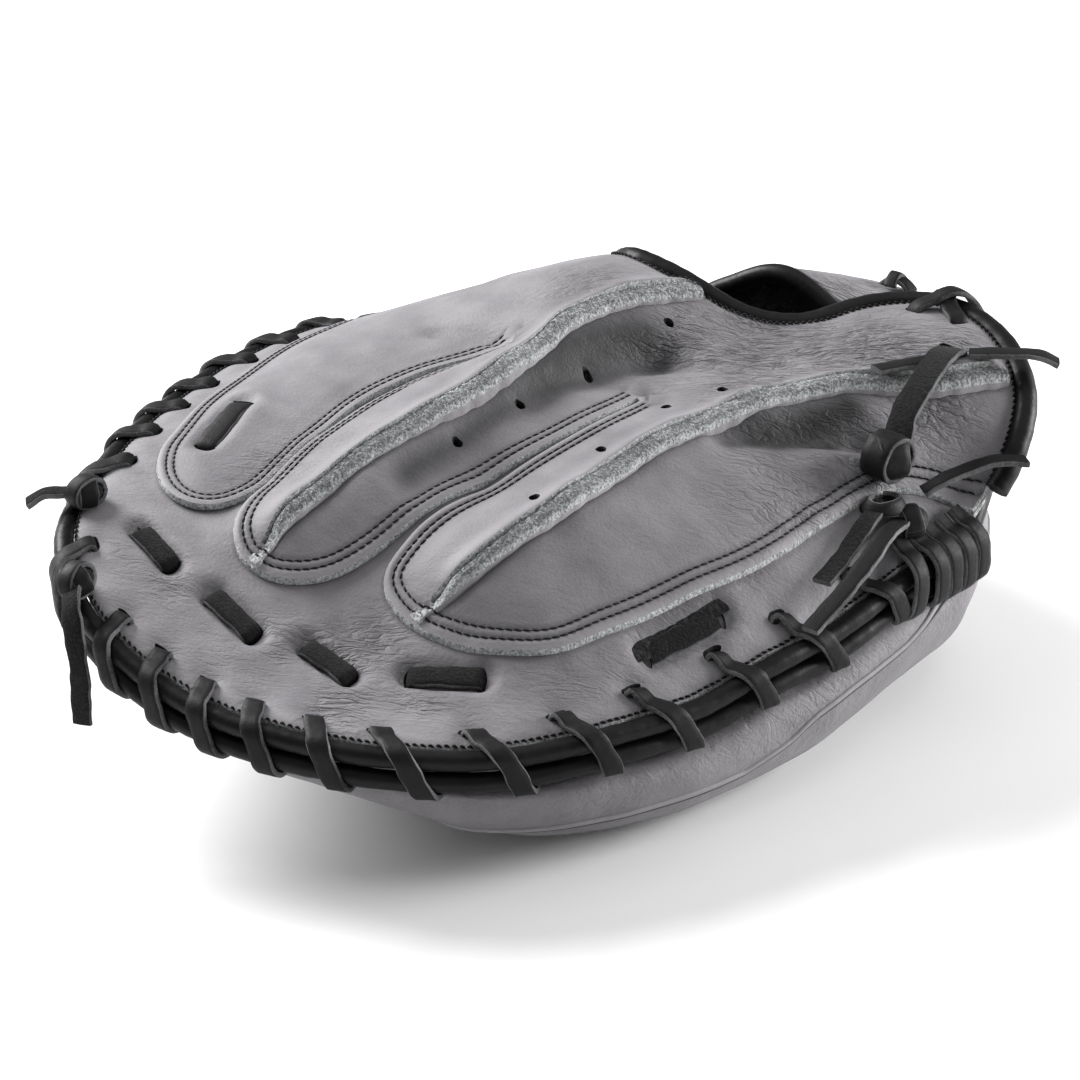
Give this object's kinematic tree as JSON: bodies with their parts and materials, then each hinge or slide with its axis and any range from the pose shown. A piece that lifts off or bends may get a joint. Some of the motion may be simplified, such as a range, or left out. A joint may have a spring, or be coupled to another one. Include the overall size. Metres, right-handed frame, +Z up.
{
  "type": "catcher mitt",
  "caption": "Left-hand catcher's mitt lying palm down: padded round palm, laced rim, leather back with welted finger stalls, open wrist with strap.",
  "frame": {"origin": "centre of the bounding box in plan, on the surface the mitt lies on", "axes": "+Z up, away from the surface; +Y towards the fingertips and the web; +X towards the thumb"},
  "size_m": [0.2428, 0.3058, 0.1139],
  "materials": {
    "grey_leather": "smooth full-grain leather, soft sheen",
    "raw_edge": "rough raw suede edge",
    "black_roll": "rolled black leather, satin",
    "black_lace": "rawhide lace, one side smooth and one side fibrous",
    "black_lining": "matt fuzzy lining"
  },
  "bodies": {
    "root": {"rim_band": "grey_leather", "thumb_index_panel": "grey_leather", "middle_ring_panel": "grey_leather", "pinky_panel": "grey_leather", "palm_pad": "grey_leather", "wrist_strap": "grey_leather", "index_welt": "raw_edge", "ring_welt": "raw_edge", "back_piping": "black_roll", "palm_piping": "black_roll", "wrist_binding": "black_roll", "heel_binding": "black_roll", "strap_binding": "black_roll", "rim_lace": "black_lace", "finger_lace_1": "black_lace", "finger_lace_2": "black_lace", "finger_lace_3": "black_lace", "finger_lace_4": "black_lace", "finger_lace_5": "black_lace", "finger_lace_6": "black_lace", "wrist_tie": "black_lace", "tie_tail": "black_lace", "tie_end": "black_lace", "strap_lace_over": "black_lace", "strap_lace_under": "black_lace", "strap_knot": "black_lace", "heel_loop_1": "black_lace", "heel_loop_2": "black_lace", "heel_loop_3": "black_lace", "heel_tail_a": "black_lace", "heel_tail_b": "black_lace", "heel_tail_c": "black_lace", "web_knot_a": "black_lace", "web_knot_b": "black_lace", "palm_lining": "black_lining"}
  },
  "joints": []
}
